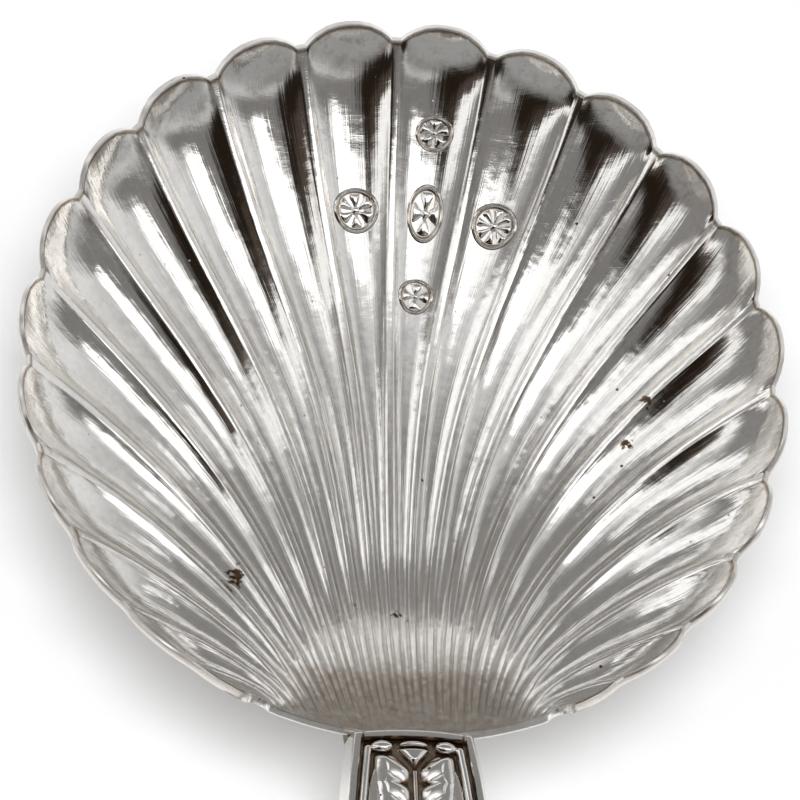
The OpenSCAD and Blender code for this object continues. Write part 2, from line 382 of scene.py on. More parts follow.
# Form of the bowl
def turn(u):
    """Direction of flute line u's end on the rim, seen from the bowl's middle."""
    t = u / HALF_N
    return np.radians(TURN_END * t - TURN_EASE * t * np.abs(t))


def rim_at(u):
    a = turn(u)
    return np.stack([HALF_W * np.sin(a), HALF_L * np.cos(a)], -1)


def rim_out(u):
    """Outward direction of the rim."""
    a = turn(u)
    return unit(np.stack([np.sin(a) / HALF_W, np.cos(a) / HALF_L], -1))


def heel_at(u):
    x = HEEL_HALF * u / HALF_N
    return np.stack([x, -HALF_L * np.sqrt(1 - (x / HALF_W) ** 2)], -1)


def flute_line(u, s, bow=0.0):
    """Plan of one flute line from the heel (s = 0) to the rim (s = 1)."""
    u, s, bow = np.broadcast_arrays(*(np.asarray(v, float) for v in (u, s, bow)))
    k = np.abs(u)
    heel = heel_at(u)
    lead = unit(np.stack([LEAD_SIDE * u / HALF_N, np.ones_like(u)], -1))
    p1 = heel + lead * np.maximum(LEAST_L, LEAD_L - LEAD_LESS * k)[..., None]
    rim = rim_at(u)
    aim = unit(np.stack([np.zeros_like(u), AIM_Y + AIM_MORE * k], -1) - rim)
    p2 = rim + aim * np.maximum(LEAST_L, AIM_L - AIM_LESS * k)[..., None]
    p3 = rim + rim_out(u) * bow[..., None]
    s = s[..., None]
    r = 1 - s
    return r**3 * heel + 3 * r * r * s * p1 + 3 * r * s * s * p2 + s**3 * p3


def crest(x, y):
    """Height of the rib crests over a place of the plan."""
    a = np.arctan2(x, y - DEEP_Y)
    qa = (np.sin(a) / HALF_W) ** 2 + (np.cos(a) / HALF_L) ** 2
    qb = 2 * DEEP_Y * np.cos(a) / HALF_L**2
    qc = (DEEP_Y / HALF_L) ** 2 - 1
    reach = (np.sqrt(qb * qb - 4 * qa * qc) - qb) / (2 * qa)
    far = np.hypot(x, y - DEEP_Y) / reach
    power = HEEL_POWER + (TIP_POWER - HEEL_POWER) * (0.5 + 0.5 * np.cos(a))
    return BOWL_D * (far**power - 1)


def upright(x, y, step=0.02):
    """Direction square to the crests."""
    gx = (crest(x - step, y) - crest(x + step, y)) / (2 * step)
    gy = (crest(x, y - step) - crest(x, y + step)) / (2 * step)
    return unit(np.stack([gx, gy, np.ones_like(gx)], -1))


def rib_edge(k, s):
    """Half width of rib k, in steps of the fan."""
    gap = np.linalg.norm(flute_line(k + 0.5, s) - flute_line(k - 0.5, s), axis=-1)
    return np.minimum(RIB_SHARE, RIB_W / 2 / gap)


def rows_along(u):
    """Values of s down one flute line, and the distance of each from the rim."""
    fine = np.linspace(0, 1, LINE_POINTS)
    p = flute_line(np.full_like(fine, u), fine)
    run = np.concatenate([[0], np.cumsum(np.linalg.norm(np.diff(p, axis=0), axis=1))])
    total = run[-1]
    near = np.minimum(EDGE_ROWS, EDGE_ROWS / EDGE_ROWS[-1] * EDGE_SHARE * total)
    first = np.interp(near, run, fine)
    last = np.interp(total - near[::-1], run, fine)
    w = np.linspace(0, 1, MAIN_ROWS + 2)[1:-1]
    w = EVEN_SHARE * w + (1 - EVEN_SHARE) * (0.5 - 0.5 * np.cos(np.pi * w))
    middle = first[-1] + (last[0] - first[-1]) * w
    s = np.concatenate([first, middle, last])
    return s, np.interp(s, fine, total - run)


def hand_wave(f, s):
    """Small unevenness along one flute, as left by hand raising."""
    return sum(size * np.sin(waves * s + shift * f + start) for size, waves, shift, start in HAND_WAVES)


def flute_depth(f, s, left, right, side):
    """Depth of one flute down its length, deeper where it is narrow, and the same without that."""
    wide = np.linalg.norm(flute_line(right, s) - flute_line(left, s), axis=-1)
    plain = FLUTE_SHARE * wide * smooth(s / FADE_ROWS) * side
    deep = plain * (1 + NARROW_SHARE / FLUTE_SHARE * np.exp(-wide / NARROW_W))
    return deep * (1 - WAVE_SHARE + WAVE_SHARE * hand_wave(f, s)), plain


def bowl_columns():
    """Every column of the bowl: place in the fan, s, distance to the rim, depths, fullness, place across."""
    # the place across is -1 to 1 over a flute and 1 to 3 over the rib after it
    cols = []
    for f in range(-HALF_N, HALF_N):
        s, to_rim = rows_along(f + 0.5)
        side = SIDE_FADE if f in (-HALF_N, HALF_N - 1) else 1.0
        left = np.full_like(s, -U_MAX) if f == -HALF_N else f + rib_edge(float(f), s)
        right = np.full_like(s, U_MAX) if f == HALF_N - 1 else f + 1 - rib_edge(f + 1.0, s)
        deep, plain = flute_depth(f, s, left, right, side)
        full = np.full_like(s, side)
        for q in FLUTE_STEPS:
            u = left + (right - left) * (q + 1) / 2
            cols.append((u, s, to_rim, deep, plain, full, np.full_like(s, q)))
        if f < HALF_N - 1:
            edge = rib_edge(f + 1.0, s)
            for r in RIB_STEPS:
                u = f + 1 + edge * r
                cols.append((u, s, to_rim, deep, plain, full, np.full_like(s, 2 + r)))
    return [np.stack(part, 1) for part in zip(*cols)]


def beside(u):
    """0 along the far rim of the bowl, 1 at its sides and beside the heel."""
    return smooth((BESIDE_FROM - rim_out(u)[..., 1]) / BESIDE_RUN)


def land_fade(u):
    """1 along the rim, falling to 0 where it ends beside the heel."""
    return smooth((U_MAX - np.abs(u)) / LAND_FADE)


def land_share(u):
    """Width of the rim land, 0 to 1: narrower at the sides, none where the rim ends."""
    return (1 + (LAND_SIDE - 1) * beside(u)) * land_fade(u)


def bowl_points():
    """Inner and outer side of the bowl, the marks on each point, and the land's step up."""
    u, s, to_rim, deep, plain, full, across = bowl_columns()
    on_flute = across <= 1
    q = np.where(on_flute, across, 1.0)
    hollow = 1 - np.abs(q) ** HOLLOW_POWER
    crown = np.where(on_flute, 1.0, np.abs(across - 2) ** RIB_POWER) * RIB_CROWN * smooth(s / FADE_ROWS)
    lobe = full * (1 - np.abs(q) ** LOBE_POWER)
    p = flute_line(u, s, LOBE_OUT * lobe - LAND_IN * land_share(u))
    n = upright(p[..., 0], p[..., 1])
    top = np.concatenate([p, crest(p[..., 0], p[..., 1])[..., None]], -1)
    end_power = END_POWER + (END_POWER_SIDE - END_POWER) * beside(u)
    end = np.clip(1 - to_rim / END_RUN, 0, 1) ** end_power
    top[..., 2] += LOBE_UP * lobe * end
    sink = (crown + deep * hollow) * (1 - end)
    inner = top - n * sink[..., None]
    outer = top - n * (BACK_SHARE * plain * (1 - q * q) * (1 - end) + SHEET_T)[..., None]
    land_up = (STEP_LOBE + (STEP_CUSP - STEP_LOBE) * (1 - lobe[-1])) * land_fade(u[-1])
    marks = {"fan": u, "reach": s, "rim_gap": to_rim, "hollow": hollow}
    return inner, outer, marks, land_up


# Meshes made from rows of points
def fresh_grid(name, rows, cols):
    """A flat grid, and the order of its points by row and column."""
    bpy.ops.object.select_all(action="DESELECT")
    bpy.ops.mesh.primitive_grid_add(x_subdivisions=cols - 1, y_subdivisions=rows - 1, size=2)
    piece = bpy.context.active_object
    piece.name = name
    piece.data.name = name
    co = np.empty(len(piece.data.vertices) * 3)
    piece.data.vertices.foreach_get("co", co)
    co = co.reshape(-1, 3)
    order = np.lexsort((np.round(co[:, 0], 6), np.round(co[:, 1], 6)))
    return piece, order


def lay_points(piece, order, points, marks):
    """Puts the grid's points in place, in metres in the part's frame, with named marks."""
    flat = (points.reshape(-1, 3) + BOWL_TO_PART) * MM
    co = np.empty_like(flat)
    co[order] = flat
    mesh = piece.data
    mesh.vertices.foreach_set("co", co.ravel())
    for name, values in marks.items():
        layer = mesh.attributes.new(name, "FLOAT", "POINT")
        spread = np.empty(len(order))
        spread[order] = values.ravel()
        layer.data.foreach_set("value", spread)
    mesh.update()


def close_up(piece, sharp, fill):
    """Merges the seams, fills open ends where asked, turns the faces outward and smooths them."""
    bpy.ops.object.select_all(action="DESELECT")
    piece.select_set(True)
    bpy.context.view_layer.objects.active = piece
    bpy.ops.object.mode_set(mode="EDIT")
    bpy.ops.mesh.select_all(action="SELECT")
    bpy.ops.mesh.remove_doubles(threshold=MERGE)
    bpy.ops.mesh.dissolve_degenerate(threshold=NO_AREA)
    if fill:
        bpy.ops.mesh.select_all(action="SELECT")
        bpy.ops.mesh.fill_holes(sides=0)
    bpy.ops.mesh.select_all(action="SELECT")
    bpy.ops.mesh.normals_make_consistent(inside=False)
    bpy.ops.object.mode_set(mode="OBJECT")
    bpy.ops.object.shade_smooth_by_angle(angle=math.radians(sharp))
    piece.select_set(False)


def grid_piece(name, points, marks, sharp, fill=False):
    """A piece from rows of points and the marks on them."""
    piece, order = fresh_grid(name, points.shape[0], points.shape[1])
    lay_points(piece, order, points, marks)
    close_up(piece, sharp, fill)
    return piece


# Bowl
def rim_land(inner_edge, u, land_up):
    """Rows of the rim's rounded land: a small step up from the inner side, then over to the outer side."""
    rim_dir = np.concatenate([rim_out(u), np.zeros((len(u), 1))], -1)
    rise = np.array([0.0, 0.0, 1.0])
    far_side = smooth((rim_dir[:, 1] - FAR_FROM) / FAR_RUN)
    width = land_share(u)
    land = []
    for out, far_up, near_up in LAND_SECTION:
        up = land_up + (far_up * far_side + near_up * (1 - far_side)) * width
        land.append(inner_edge + rim_dir * (out * width)[:, None] + rise * up[:, None])
    return np.stack(land)


def heel_rows(inner_edge, outer_edge):
    """Rows of the sheet's rounded edge at the heel, from the outer side to the inner one."""
    bulges = HEEL_BULGE * np.sqrt(1 - (2 * HEEL_STEPS - 1) ** 2)
    back = np.array([0.0, -1.0, 0.0])
    through = inner_edge - outer_edge
    return np.stack([outer_edge + through * v + back * bulge for v, bulge in zip(HEEL_STEPS, bulges)])


def sheet_end(inner, outer, side, land_n, heel_n):
    """One more column at an end beside the heel, which draws the sheet together."""
    middle = (inner + outer) / 2 + np.array([END_OUT * side, -END_BACK, 0.0])
    on_land = np.repeat(middle[-1:], land_n, 0)
    on_heel = np.repeat(middle[:1], heel_n + 1, 0)
    return np.concatenate([middle, on_land, middle[::-1], on_heel])[:, None]


def make_bowl():
    """The fluted shell: inner side, rim land, outer side and heel edge as one closed run of rows."""
    inner, outer, on_side, land_up = bowl_points()
    rows, cols = inner.shape[:2]
    land = rim_land(inner[-1], on_side["fan"][-1], land_up)
    heel = heel_rows(inner[0], outer[0])
    land_n = len(land)
    heel_n = len(heel)
    points = np.concatenate([inner, land, outer[::-1], heel, inner[:1]])

    def around(*values):
        """A mark for all rows of the run, from its values on the five stretches."""
        counts = (rows, land_n, rows, heel_n, 1)
        return np.concatenate([np.broadcast_to(v, (n, cols)) for v, n in zip(values, counts)])

    # painted shade along the outer rounding of the rim land, rising over its last rows
    edge_shade = np.zeros((land_n, 1))
    edge_shade[EDGE_SHADE_ROW:, 0] = np.linspace(EDGE_SHADE_FIRST, 1, land_n - EDGE_SHADE_ROW)
    marks = {k: around(v, v[-1], v[::-1], v[0], v[0]) for k, v in on_side.items()}
    to_rim = on_side["rim_gap"]
    marks["rim_gap"] = around(to_rim, LAND_RIM_GAP, to_rim[::-1], to_rim[0], to_rim[0])
    marks["edge"] = around(0.0, 1.0, 0.0, 0.0, 0.0)
    marks["edge_shade"] = around(0.0, edge_shade, 1.0, 1.0, 1.0)
    marks["inside"] = around(1.0, 0.5, 0.0, 0.5, 1.0)
    left = sheet_end(inner[:, 0], outer[:, 0], -1, land_n, heel_n)
    right = sheet_end(inner[:, -1], outer[:, -1], 1, land_n, heel_n)
    points = np.concatenate([left, points, right], 1)
    marks = {k: np.concatenate([v[:, :1], v, v[:, -1:]], 1) for k, v in marks.items()}
    return grid_piece("bowl_shell", points, marks, BOWL_SHARP)


# Rosettes
def rosette_form(r, a, petals):
    """Relief of a rosette from 0 to 1: a raised ring, petals and a round eye."""
    ring = bell(r, RING_AT, RING_W)
    off = np.abs(np.sin(petals * a / 2)) / PETAL_FILL
    along = (r - PETAL_AT) / PETAL_HALF
    petal = half_round(off) * half_round(along)
    eye = half_round(r / EYE_R)
    return np.maximum.reduce([RING_HIGH * ring, petal, eye])


def bed_under(bowl, x, y):
    """Height of the bowl's inner side under each place."""
    down = Vector((0, 0, -1))
    bed = np.empty_like(x)
    for i in np.ndindex(x.shape):
        start = Vector((np.array([x[i], y[i], PROBE_Z]) + BOWL_TO_PART) * MM)
        bed[i] = bowl.ray_cast(start, down)[1].z / MM - BOWL_TO_PART[2]
    return bed


def make_rosette(bowl, name, u, y, half_x, half_y, petals):
    """A small plain rosette in a raised ring, punched in the middle of one flute."""
    s = np.linspace(*SEARCH, LINE_POINTS)
    line = flute_line(np.full_like(s, u), s)
    here = np.interp(y, line[:, 1], s)
    centre = flute_line(u, here)
    ahead = flute_line(u, here + LEAN_STEP) - centre
    lean = math.atan2(ahead[0], ahead[1])
    r, a = np.meshgrid(ROSETTE_ROWS, ROSETTE_COLS, indexing="ij")
    across = half_x * r * np.sin(a)
    along = half_y * r * np.cos(a)
    x = centre[0] + across * math.cos(lean) + along * math.sin(lean)
    y = centre[1] - across * math.sin(lean) + along * math.cos(lean)
    bed = bed_under(bowl, x, y)
    form = rosette_form(r, a, petals)
    skirt = ROSETTE_SKIRT * smooth((r - SKIRT_FROM) / (1 - SKIRT_FROM))
    top = np.stack([x, y, bed + ROSETTE_LOW + ROSETTE_HIGH * form - skirt], -1)
    low = np.stack([x, y, bed - ROSETTE_SKIRT], -1)
    points = np.concatenate([top, low[::-1]])
    # outline: painted shadow along the ring's outer and inner edges
    outline = np.maximum(bell(r, *OUTER_SHADOW), INNER_SHADOW_SHARE * bell(r, *INNER_SHADOW))
    marks = {
        "sunk": np.concatenate([1 - form, np.ones_like(form)]),
        "outline": np.concatenate([outline, outline[::-1]]),
    }
    return grid_piece(name, points, marks, BOWL_SHARP)


# Form of the handle
def arch(t):
    """Height of the handle's top at a distance t from the neck."""
    w = t / HANDLE_L
    up = (2 * w - 3) * w * w + 1
    leave = ((w - 2) * w + 1) * w
    land = (w - 1) * w * w
    return NECK_UP * up + END_Z * (1 - up) + HANDLE_L * (RISE * leave - END_FALL * land)


def on_handle(x, t, h):
    """A point at depth h below the handle's top."""
    bow = NECK_BOW * (2 * x / NECK_W) ** 2 * np.maximum(0, 1 - t / BOW_RUN)
    return np.stack([x, NECK_Y - t - bow, arch(t) - h], -1)


def flare(t):
    return NECK_W / 2 + (END_W - NECK_W) / 2 * np.minimum(1, t / FLARE_RUN)


def half_at(t, d):
    """Half width of the handle's outline drawn in by d."""
    e = np.maximum(0, t - FLARE_END) / (HANDLE_L - d - FLARE_END)
    return (flare(t) - d) * np.sqrt(np.maximum(0, 1 - ROUND_SHARE * e**ROUND_POWER))


def side_gap(x, t):
    """Distance of a place on the handle from its side outline, found by halving."""
    low = np.zeros_like(x)
    high = np.minimum(flare(t), DEEPEST_SHARE * (HANDLE_L - FLARE_END))
    for _ in range(HALVINGS):
        mid = (low + high) / 2
        inside = half_at(t, mid) > np.abs(x)
        low = np.where(inside, mid, low)
        high = np.where(inside, high, mid)
    return low


# Relief of the handle, 0 on the ground and 1 at the border's top
def border(x, t, gap):
    """Fillet and ridge along the outline, and the grooves beside them."""
    groove = smooth((gap - FILLET_W) / GROOVE_SLOPE) * smooth((RIDGE_FROM - gap) / GROOVE_SLOPE)
    neck_groove = smooth((t - NECK_FILLET) / NECK_SLOPE)
    neck_groove = neck_groove * smooth((NECK_FILLET + NECK_GROOVE - t) / NECK_SLOPE)
    neck_groove = neck_groove * smooth((NECK_GROOVE_HALF - np.abs(x)) / NECK_GROOVE_FADE)
    ridge = half_round((gap - RIDGE_FROM - RIDGE_W / 2) / (RIDGE_FULL * RIDGE_W))
    ridge = ridge * smooth((t - RIDGE_START) / RIDGE_START_RUN)
    side_fillet = smooth((FILLET_W + FILLET_SLOPE / 2 - gap) / FILLET_SLOPE)
    neck_fillet = smooth((NECK_FILLET + FILLET_SLOPE - t) / NECK_SLOPE)
    rise = np.maximum.reduce([side_fillet, neck_fillet, RIDGE_HIGH * ridge])
    return rise, np.maximum(groove, neck_groove)


def neck_boss(x, t, at_x, at_t, half_x, half_t, high):
    return high * half_round((x - at_x) / half_x, (t - at_t) / half_t)


def neck_bosses(x, t):
    """The ridge curls in at both neck corners, round an eye, with a crown and a keel between them."""
    curl = neck_boss(np.abs(x), t, *CURL)
    eye = neck_boss(np.abs(x), t, *EYE)
    crown = neck_boss(x, t - CROWN_BEND * x * x, *CROWN)
    keel_w = KEEL_HALF * np.clip((KEEL_TO - t) / KEEL_TAPER, 0, 1)
    keel = np.where((t > KEEL_FROM) & (t < KEEL_TO), half_round(x / np.maximum(KEEL_LEAST, keel_w)), 0)
    keel = keel * smooth((t - KEEL_FROM) / KEEL_RISE) * smooth((KEEL_TO - t) / KEEL_FALL)
    return np.maximum.reduce([curl, eye, crown, KEEL_HIGH * keel])


def leaf_pair(p, w):
    """One pair of leaves: smooth outer edges, three lobes on the inner side, veins between the lobes."""
    # p is the place out from the middle line and w the place along the leaf, both from 0 to 1
    outer = LEAF_OUT - LEAF_LEAN * w - LEAF_TAPER * np.maximum(0, w - LEAF_TAPER_FROM) ** LEAF_TAPER_POWER
    inner_base = LEAF_IN + LEAF_ROOT * np.maximum(0, 1 - w / LEAF_ROOT_RUN) ** LEAF_ROOT_POWER
    phase = LEAF_LOBES * (w - LOBES_FROM)
    notch = (1 - np.abs(np.sin(np.pi * phase))) ** 2 * smooth((w - LOBES_FROM) / LOBES_FADE)
    inner = np.where(w > 1, inner_base + LEAF_CLOSE * (w - 1), inner_base + NOTCH_IN * notch)
    q = (p - inner) / np.maximum(LEAF_LEAST, outer - inner)
    swell = np.clip(1 - np.abs(2 * q - 1) ** SWELL_POWER, 0, 1) ** SWELL_ROUND
    body = np.where((q > 0) & (q < 1), swell, 0)
    slant = phase + NOTCH_SLANT * np.clip(q, 0, 1)
    lobe = np.abs(np.sin(np.pi * slant)) ** NOTCH_ROUND
    vein = bell(q, VEIN_AT + VEIN_SWAY * np.sin(VEIN_WAVES * w), VEIN_W)
    vein = vein * smooth(w / VEIN_START) * smooth((1 - w) / VEIN_STOP)
    notched = NOTCH_DEEP * smooth((NOTCH_OUT - q) / NOTCH_RUN) * (1 - lobe)
    height = body * (1 - notched) - VEIN_DEEP * vein * body
    cap = np.clip(np.minimum(w / ROOT_RUN, (TIP_OUT - w) / TIP_RUN), 0, 1)
    return np.maximum(0, height) * np.sqrt(np.sin(0.5 * np.pi * cap))


def outer_leaf(p, w):
    """The small smooth leaf between a big leaf and the border."""
    half = SMALL_HALF + SMALL_GROW * np.clip(w, 0, 1)
    a = (p - (SMALL_AT - SMALL_LEAN * w)) / half
    b = (w - SMALL_MIDDLE) / SMALL_LONG
    return half_round(a, b) ** SMALL_ROUND


def palmette(x, t):
    """Nine fronds that fan out from a small knob over the rounded end."""
    r = np.hypot(x, t - PALMETTE_AT)
    a = np.arctan2(x, t - PALMETTE_AT)
    far = PALMETTE_R - PALMETTE_SIDE_LESS * np.abs(np.sin(a)) ** 2
    n = np.clip(np.round(a / FROND_STEP), -FRONDS_ASIDE, FRONDS_ASIDE)
    off = (a - n * FROND_STEP) / (FROND_WIDE * FROND_STEP)
    w = (r - FROND_FROM) / (far - FROND_FROM)
    swell = np.clip(np.sin(np.pi * np.clip(w, 0, 1) ** FROND_SWELL), 0, 1) ** FROND_ROUND
    frond = half_round(off) * swell
    rib = FROND_RIB * bell(off, 0, FROND_RIB_W) * smooth((FROND_RIB_TO - w) / FROND_RIB_RUN) * (frond > 0)
    frond = np.where((w > 0) & (w < 1), frond - rib, 0)
    knob = half_round(x / KNOB_R, (t - PALMETTE_AT) / KNOB_R)
    return np.maximum(FROND_HIGH * frond, knob)


def leaves(x, t):
    """The five pairs of leaves on their stem, the beads between them and the palmette."""
    p = np.abs(x) / (half_at(np.minimum(t, FLARE_END), 0) - BORDER_W)
    height = palmette(x, t)
    for start, length in LEAF_PAIRS:
        big = leaf_pair(p, (t - start) / length)
        small = SMALL_HIGH * outer_leaf(p, (t - start) / (length * SMALL_RUN))
        bead_r = BEAD_R + BEAD_GROW * start
        bead = BEAD_HIGH * half_round(x / bead_r, (t - start - length - BEAD_AFTER) / bead_r)
        along_stem = (t > start + STEM_FROM * length) & (t < start + length)
        stem = STEM_HIGH * along_stem * half_round(x / STEM_HALF)
        height = np.maximum.reduce([height, big, small, bead, stem])
    return height


def relief(x, t):
    """Depth of the handle's struck front below its top, and how sunk each place is from 0 to 1."""
    gap = side_gap(x, t)
    edge = np.minimum(gap, t)
    round_off = EDGE_ROUND - np.sqrt(np.maximum(0, EDGE_ROUND**2 - (EDGE_ROUND - edge) ** 2))
    fall = np.where(edge < EDGE_ROUND, round_off, 0)
    rise, groove = border(x, t, gap)
    on_ground = leaves(x, t) * smooth((gap - GROUND_FROM) / GROUND_SLOPE)
    height = np.maximum.reduce([rise, on_ground, neck_bosses(x, t)])
    height = height - GROOVE_DEEP * np.minimum(height, groove)
    sunk = 1 - np.clip(height, 0, 1)
    return GROUND_DEEP * sunk + fall + TOP_IN, sunk


# Front of the handle
def handle_columns(t):
    """Places across the top: close together at the edge and the border lines, even over the ground."""
    gaps = np.concatenate([LIP_ROWS, FILLET_COLS, GROOVE_COLS, RIDGE_COLS, GROUND_COLS])
    n = len(gaps) + INNER_COLS
    half = half_at(t, 0)
    side = [np.maximum(half_at(t, g), half * (1 - (j + FIRST_COL) / n)) for j, g in enumerate(gaps)]
    ground = side[-1]
    side += [ground * (1 - i / (INNER_COLS + 0.5)) for i in range(1, INNER_COLS + 1)]
    return np.stack([-v for v in side] + side[::-1], 1)


def box_blur(values, row_at, width):
    """Mean of the values along the rows within a width, for telling hollows from swells."""
    total = np.cumsum(np.concatenate([np.zeros((1, values.shape[1])), values]), axis=0)
    low = np.searchsorted(row_at, row_at - width)
    high = np.searchsorted(row_at, row_at + width, side="right")
    return (total[high] - total[low]) / (high - low)[:, None]


def make_handle_front():
    """The struck front with its side walls, closed below."""
    t = np.concatenate([LIP_ROWS, NECK_ROWS, LONG_ROWS, ROUND_ROWS, LAST_ROWS])
    x = handle_columns(t)
    tt = np.repeat(t[:, None], x.shape[1], 1)
    depth, sunk = relief(x, tt)
    top = on_handle(x, tt, depth)
    half = half_at(t, 0)

    def wall(side, h):
        return on_handle(side * (half + WALL_DRAFT * h / WALL_H), t, np.full_like(t, h))[:, None]

    under = on_handle(np.zeros_like(t), t, np.full_like(t, WALL_H))[:, None]
    left = [wall(-1, h) for h in WALL_ROWS[::-1]]
    right = [wall(1, h) for h in WALL_ROWS]
    points = np.concatenate([under] + left + [top] + right + [under], 1)
    hollow = np.clip(sunk - box_blur(sunk, t, SWELL_W) + 0.5, 0, 1)
    marks = {}
    for name, values, on_wall in (("sunk", sunk, 0.0), ("hollow", hollow, 0.5)):
        side = np.full((len(t), len(WALL_ROWS) + 1), on_wall)
        marks[name] = np.concatenate([side, values, side], 1)
    return grid_piece("handle_front_struck", points, marks, FRONT_SHARP, fill=True)


# Back of the handle
def tongue_rows(across):
    """Upper and lower rows of the tongue that laps the back of the bowl."""
    upper = []
    lower = []
    for far in np.linspace(1, 0, TONGUE_ROWS + 1):
        half = TONGUE_TIP + (NECK_W / 2 + WALL_DRAFT - TONGUE_TIP) * math.sqrt(1 - far * far)
        x = across * half
        y = np.full(BACK_COLS, NECK_Y + TONGUE_L * far)
        up = upright(x, y)
        top = np.stack([x, y, crest(x, y) - JOINT_GAP / up[..., 2]], -1)
        upper.append(top)
        lower.append(top - up * BACK_T)
    return upper, lower


def plate_row(across, t, h):
    """One row across the back plate."""
    half = half_at(t, 0.0) + WALL_DRAFT
    return on_handle(across * half, np.full(BACK_COLS, t), np.full(BACK_COLS, h))


def make_handle_back():
    """Back plate with its rounded tongue, edges broken."""
    across = np.linspace(1, -1, BACK_COLS)
    upper, lower = tongue_rows(across)
    round_end = np.sin(np.radians(np.linspace(PLATE_END_FIRST, 90, PLATE_END_ROWS)))
    straight = np.linspace(PLATE_FROM, FLARE_END, PLATE_ROWS)
    plate = np.concatenate([straight, FLARE_END + (HANDLE_L - FLARE_END) * round_end])
    upper.append(plate_row(across, 0.0, BED_H))
    lower.append((lower[-1] + plate_row(across, PLATE_FROM, BED_H + BACK_T)) / 2)
    upper += [plate_row(across, t, BED_H) for t in plate]
    lower += [plate_row(across, t, BED_H + BACK_T) for t in plate]
    top = np.stack(upper)
    low = np.stack(lower)
    points = np.concatenate([top, low[:, ::-1], top[:, :1]], 1)
    piece = grid_piece("handle_back_plate", points, {}, BACK_SHARP, fill=True)
    bevel = piece.modifiers.new("broken_edge", "BEVEL")
    bevel.width = BACK_EDGE * MM
    bevel.segments = BACK_EDGE_STEPS
    bevel.limit_method = "ANGLE"
    bevel.angle_limit = math.radians(BACK_EDGE_ANGLE)
    piece.select_set(True)
    bpy.ops.object.modifier_apply(modifier="broken_edge")
    bpy.ops.object.shade_smooth_by_angle(angle=math.radians(BACK_SHARP))
    piece.select_set(False)
    return piece


# Shader nodes
class Nodes:
    """Short calls for adding and linking shader nodes in one tree."""

    def __init__(self, tree):
        self.tree = tree

    def add(self, kind, **values):
        node = self.tree.nodes.new(kind)
        for key, value in values.items():
            setattr(node, key, value)
        return node

    def link(self, source, target):
        """Joins a socket to an input, or sets the input to a number or a colour."""
        if isinstance(source, (int, float, tuple)):
            target.default_value = source
        else:
            self.tree.links.new(source, target)

    def feed(self, node, **sources):
        """Links several inputs of a node by their names."""
        for name, source in sources.items():
            self.link(source, node.inputs[name])

    def math(self, kind, a, b=0.0, clamp=False):
        node = self.add("ShaderNodeMath", operation=kind, use_clamp=clamp)
        self.link(a, node.inputs[0])
        self.link(b, node.inputs[1])
        return node.outputs[0]

    def times(self, a, b, clamp=False):
        return self.math("MULTIPLY", a, b, clamp)

    def mix_of(self, *parts, base=0.0, clamp=False):
        """A base value plus each mask times its share."""
        total = base
        for mask, share in parts:
            total = self.math("ADD", total, self.times(mask, share))
        return self.math("ADD", total, 0.0, clamp=True) if clamp else total

    def length(self, a, b):
        return self.math("SQRT", self.math("ADD", self.times(a, a), self.times(b, b)))

    def inverse(self, mask):
        return self.math("SUBTRACT", 1.0, mask)

    def band(self, value, low, high):
        """0 below low, 1 above high, soft between."""
        node = self.add("ShaderNodeMapRange", interpolation_type="SMOOTHSTEP")
        self.feed(node, **{"Value": value, "From Min": low, "From Max": high})
        return node.outputs["Result"]

    def below(self, value, low, high):
        """1 below low, 0 above high, soft between."""
        return self.inverse(self.band(value, low, high))

    def blend(self, factor, a, b):
        node = self.add("ShaderNodeMix", data_type="RGBA")
        self.feed(node, Factor=factor, A=a, B=b)
        return node.outputs["Result"]

    def noise(self, vector, scale, detail=3.0, rough=0.55):
        node = self.add("ShaderNodeTexNoise")
        self.feed(node, Vector=vector, Scale=scale, Detail=detail, Roughness=rough)
        return node.outputs["Fac"]

    def spots(self, vector, scale, core, reach):
        """Round spots, one to a cell: full up to core and gone at reach."""
        cells = self.add("ShaderNodeTexVoronoi", feature="F1")
        self.feed(cells, Vector=vector, Scale=scale)
        return self.below(cells.outputs["Distance"], core, reach)

    def mapped(self, vector, scale=(1, 1, 1), turn=(0, 0, 0), place=(0, 0, 0)):
        node = self.add("ShaderNodeMapping")
        self.feed(node, Vector=vector, Scale=scale, Rotation=turn, Location=place)
        return node.outputs["Vector"]

    def split(self, vector):
        """The three parts of a vector."""
        parts = self.add("ShaderNodeSeparateXYZ")
        self.link(vector, parts.inputs["Vector"])
        return parts.outputs["X"], parts.outputs["Y"], parts.outputs["Z"]

    def mark(self, name):
        return self.add("ShaderNodeAttribute", attribute_name=name).outputs["Fac"]


# Silver: colours from clean to dark
SILVER_BRIGHT = (0.93, 0.912, 0.882, 1)
SILVER_GREY = (0.87, 0.848, 0.812, 1)
TARNISH_PALE = (0.46, 0.39, 0.32, 1)
TARNISH_DARK = (0.10, 0.058, 0.03, 1)

# Silver: roughness where it is polished, and depth of its finest marks in metres
POLISH = 0.05
BUMP = 0.04 * MM
FINE_BUMP = 0.02 * MM

# Worn silver: what its node group takes in and gives out
WEAR_SOCKETS = (
    ("Vector", "INPUT", "Vector"),
    ("Tarnish", "INPUT", "Float"),
    ("Color", "OUTPUT", "Color"),
    ("Roughness", "OUTPUT", "Float"),
    ("Height", "OUTPUT", "Float"),
)

# Scratches: direction in radians, thinness and rarity
SCRATCHES = ((0.45, 26.0, 0.69), (-0.8, 31.0, 0.69), (1.9, 22.0, 0.70), (2.7, 37.0, 0.70))
SCRATCH_SOFT = 0.07

# Cross hatching near the rim: direction in radians and shift of the pattern
HATCHES = ((0.9, 0.0), (2.3, 3.0))

# Dirt in the bowl, and painted shade at the foot of the rim land, in millimetres: where they fade along the
# spoon, to the sides and in from the rim
HEEL_FILM_ALONG = (4.9, 6.6)
HEEL_FILM_ASIDE = (5.5, 9.5)
RIM_FOOT_SHADE = (0.03, 0.16)
FLUTE_END_DIRT = (0.3, 3.4)

